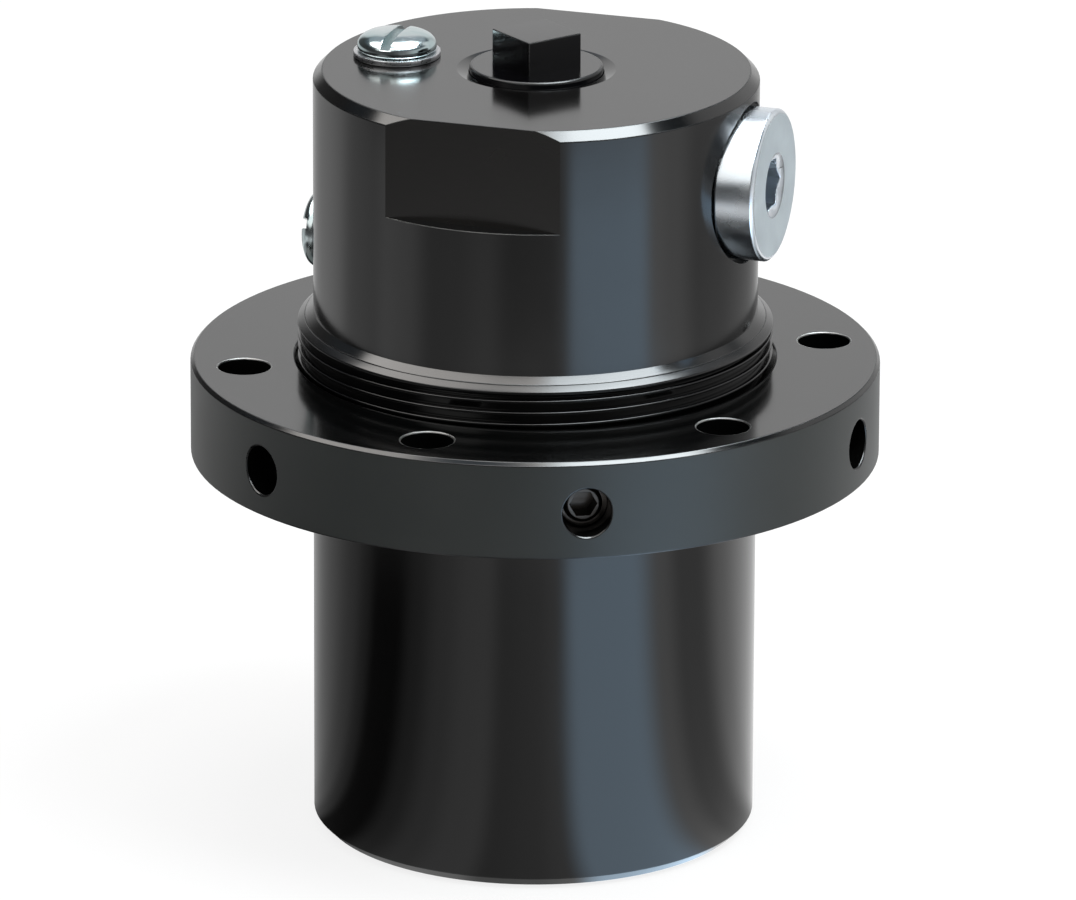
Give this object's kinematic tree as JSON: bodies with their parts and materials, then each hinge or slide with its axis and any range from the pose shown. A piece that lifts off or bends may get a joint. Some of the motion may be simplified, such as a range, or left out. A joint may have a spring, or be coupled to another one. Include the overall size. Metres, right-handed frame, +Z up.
{
  "type": "clamping cylinder",
  "caption": "Spring-clamped, hydraulically released pull cylinder: round black body, screwed-on flange ring, tie rod with drive square, side oil port and bleed screws.",
  "frame": {"origin": "centre of the body's lower end face", "axes": "+Z up along the rod to the head, +X towards the oil port; the wrench flats face +Y and -Y"},
  "size_m": [0.087, 0.087, 0.1039],
  "materials": {
    "black_oxide_steel": "black oxide on turned steel, lightly oiled and glossy",
    "zinc_steel": "bright zinc plate",
    "ground_steel": "turned and ground",
    "spring_steel": "phosphated spring steel",
    "bronze_bush": "sintered bronze",
    "brass_pad": "plain",
    "copper_ring": "zinc plated sealing ring",
    "seal_rubber": "nitrile rubber",
    "seal_polyurethane": "polyurethane",
    "ptfe_bronze": "filled slide ring",
    "guide_resin": "fabric-filled resin"
  },
  "bodies": {
    "cylinder": {"cylinder_body": "black_oxide_steel", "bottom_cover": "black_oxide_steel", "rod_bush": "bronze_bush", "lower_wiper": "seal_polyurethane", "head_wiper": "seal_polyurethane", "rod_seal": "seal_polyurethane", "seal_backup_ring": "guide_resin", "head_guide_ring": "guide_resin", "lower_spring_washer": "ground_steel", "disc_springs": "spring_steel"},
    "flange": {"flange_ring": "black_oxide_steel", "flange_lock_pad": "brass_pad"},
    "lock_screw": {"flange_lock_screw": "zinc_steel"},
    "piston": {"piston": "ground_steel", "piston_slide_ring": "ptfe_bronze", "piston_energiser": "seal_rubber", "piston_guide_ring": "guide_resin", "piston_inner_o_ring": "seal_rubber", "upper_spring_washer": "ground_steel"},
    "rod": {"tie_rod": "black_oxide_steel", "rod_retaining_ring": "spring_steel"},
    "port_ring": {"port_plug_ring": "seal_rubber"},
    "port_plug": {"port_plug": "zinc_steel"},
    "top_bleed_ring": {"top_bleed_ring": "copper_ring"},
    "top_bleed_screw": {"top_bleed_screw": "zinc_steel"},
    "side_bleed_ring": {"side_bleed_ring": "copper_ring"},
    "side_bleed_screw": {"side_bleed_screw": "zinc_steel"}
  },
  "joints": [
    {"name": "piston_stroke", "type": "slide", "parent": "cylinder", "child": "piston", "axis": [0, 0, -1], "range_m": [0, 0.005], "stiffness_N_per_m": 4000, "springref_m": -0.0025, "deforming": ["disc_springs"]},
    {"name": "rod_turn", "type": "hinge", "parent": "piston", "child": "rod", "pos_m": [0, 0, 0.0647], "axis": [0, 0, 1], "continuous": true},
    {"name": "flange_turn", "type": "hinge", "parent": "cylinder", "child": "flange", "pos_m": [0, 0, 0.05525], "axis": [0, 0, 1], "range_deg": [-180, 180]},
    {"name": "lock_screw_turn", "type": "hinge", "parent": "flange", "child": "lock_screw", "pos_m": [0.01512, -0.03045, 0.0549], "axis": [0.4446, -0.8957, 0], "range_deg": [0, 90]},
    {"name": "port_plug_lift", "type": "slide", "parent": "cylinder", "child": "port_ring", "axis": [1, 0, 0], "range_m": [0, 0.00134]},
    {"name": "port_plug_turn", "type": "hinge", "parent": "port_ring", "child": "port_plug", "pos_m": [0.0261, 0, 0.0868], "axis": [1, 0, 0], "range_deg": [0, 360]},
    {"name": "top_bleed_lift", "type": "slide", "parent": "cylinder", "child": "top_bleed_ring", "axis": [0, 0, 1], "range_m": [0, 0.0007992]},
    {"name": "top_bleed_turn", "type": "hinge", "parent": "top_bleed_ring", "child": "top_bleed_screw", "pos_m": [-0.0184, 0, 0.099], "axis": [0, 0, 1], "range_deg": [0, 360]},
    {"name": "side_bleed_lift", "type": "slide", "parent": "cylinder", "child": "side_bleed_ring", "axis": [-1, 0, 0], "range_m": [0, 0.0007992]},
    {"name": "side_bleed_turn", "type": "hinge", "parent": "side_bleed_ring", "child": "side_bleed_screw", "pos_m": [-0.027, 0, 0.0753], "axis": [-1, 0, 0], "range_deg": [0, 360]}
  ],
  "couplings": [
    {"joint": "port_plug_turn", "follows": "port_plug_lift", "rad_per_m": 4699.5},
    {"joint": "top_bleed_turn", "follows": "top_bleed_lift", "rad_per_m": 7854},
    {"joint": "side_bleed_turn", "follows": "side_bleed_lift", "rad_per_m": 7854}
  ]
}
